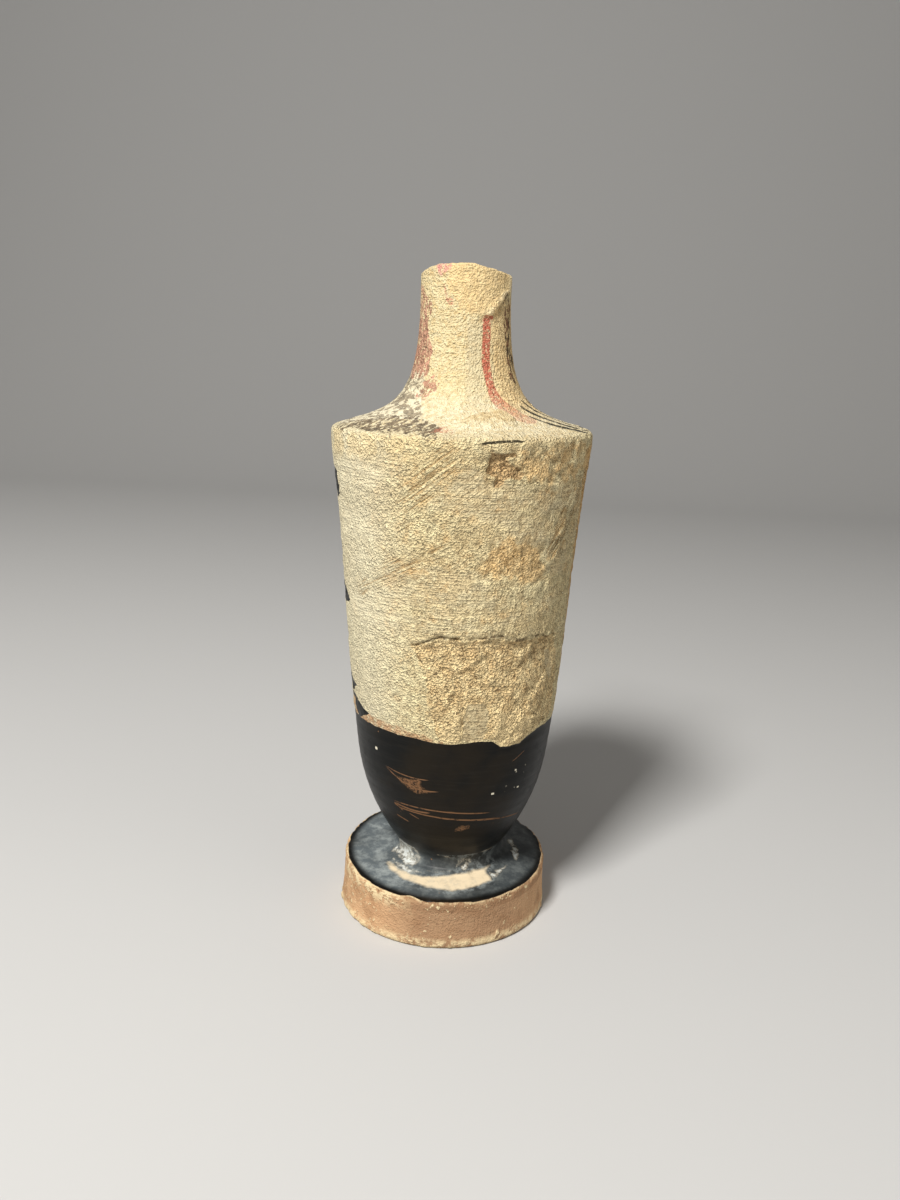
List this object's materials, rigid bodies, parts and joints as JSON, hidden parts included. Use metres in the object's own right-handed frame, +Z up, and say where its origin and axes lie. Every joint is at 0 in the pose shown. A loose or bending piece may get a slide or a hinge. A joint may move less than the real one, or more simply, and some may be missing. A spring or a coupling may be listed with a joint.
{
  "type": "lekythos",
  "caption": "Small slender clay oil flask with a disc foot, tapering body, flat shoulder and narrow broken neck.",
  "frame": {"origin": "on the ground, under the middle of the shoulder", "axes": "+Z up through the vessel, -Y towards the worn side with the scars of the handle"},
  "size_m": [0.0606, 0.0606, 0.1559],
  "materials": {
    "fired_clay": "matte"
  },
  "bodies": {
    "root": {"lekythos": "fired_clay"}
  },
  "joints": []
}
